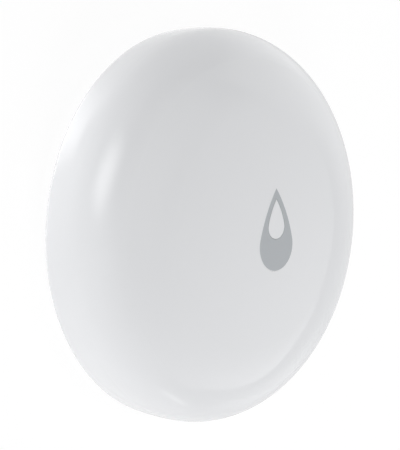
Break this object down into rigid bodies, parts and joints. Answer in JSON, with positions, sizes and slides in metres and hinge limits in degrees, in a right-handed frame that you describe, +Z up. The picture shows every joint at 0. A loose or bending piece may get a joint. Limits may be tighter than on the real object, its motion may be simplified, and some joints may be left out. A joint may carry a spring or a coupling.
{
  "type": "water leak sensor",
  "caption": "Round domed puck that lies on the floor and senses water between two probes on its underside, with a drop-shaped press key and lamp and a coin-turn battery door.",
  "frame": {"origin": "on the floor under the middle of the round body, level with the bottoms of the feet", "axes": "+Z up out of the dome, +Y towards the tip of the drop key, +X from the body's middle to the drop key"},
  "size_m": [0.05, 0.05, 0.015],
  "materials": {
    "shell_gloss": "glossy white moulded plastic",
    "base_satin": "satin white moulded plastic",
    "key_grey": "smooth grey moulded plastic",
    "window_milky": "milky light guide",
    "seal_rubber": "soft silicone rubber",
    "foot_rubber": "grey rubber pad",
    "black_plastic": "black moulded plastic",
    "stainless": "turned stainless steel",
    "cell_steel": "nickel-plated steel",
    "spring_bronze": "gold-plated spring strip",
    "nut_brass": "turned brass",
    "board_green": "solder-masked laminate",
    "lamp_resin": "clear lamp resin",
    "ceramic_tan": "fired ceramic",
    "foam_black": "closed-cell foam"
  },
  "bodies": {
    "housing": {"front_shell": "shell_gloss", "key_seal": "seal_rubber", "key_frame": "black_plastic", "rear_base": "base_satin", "main_seal": "seal_rubber", "housing_screws": "stainless", "feet": "foot_rubber", "cell_can": "cell_steel", "cell_gasket": "black_plastic", "cell_cap": "cell_steel", "battery_holder": "black_plastic", "positive_contact": "spring_bronze", "negative_contact": "spring_bronze", "circuit_board": "board_green", "board_screws": "stainless", "switch_body": "black_plastic", "indicator_lamp": "lamp_resin", "radio_board": "board_green", "radio_shield": "cell_steel", "chip_antenna": "ceramic_tan", "crystal": "cell_steel", "capacitors": "ceramic_tan", "probe_left": "stainless", "probe_right": "stainless", "probe_seals": "seal_rubber", "probe_nuts": "nut_brass", "probe_contacts": "spring_bronze"},
    "drop_button": {"drop_key": "key_grey", "light_window": "window_milky"},
    "switch_plunger": {"switch_plunger": "window_milky"},
    "battery_door": {"battery_door": "base_satin", "door_seal": "seal_rubber", "door_pad": "foam_black"}
  },
  "joints": [
    {"name": "key_press", "type": "slide", "parent": "housing", "child": "drop_button", "axis": [0, 0, -1], "range_m": [0, 0.0003], "stiffness_N_per_m": 4000, "deforming": ["key_seal"]},
    {"name": "plunger_press", "type": "slide", "parent": "housing", "child": "switch_plunger", "axis": [0, 0, -1], "range_m": [0, 0.0003]},
    {"name": "door_turn", "type": "hinge", "parent": "housing", "child": "battery_door", "pos_m": [0, 0, 0.0006], "axis": [0, 0, -1], "range_deg": [0, 45]}
  ],
  "couplings": [
    {"joint": "plunger_press", "follows": "key_press", "ratio": 1}
  ]
}
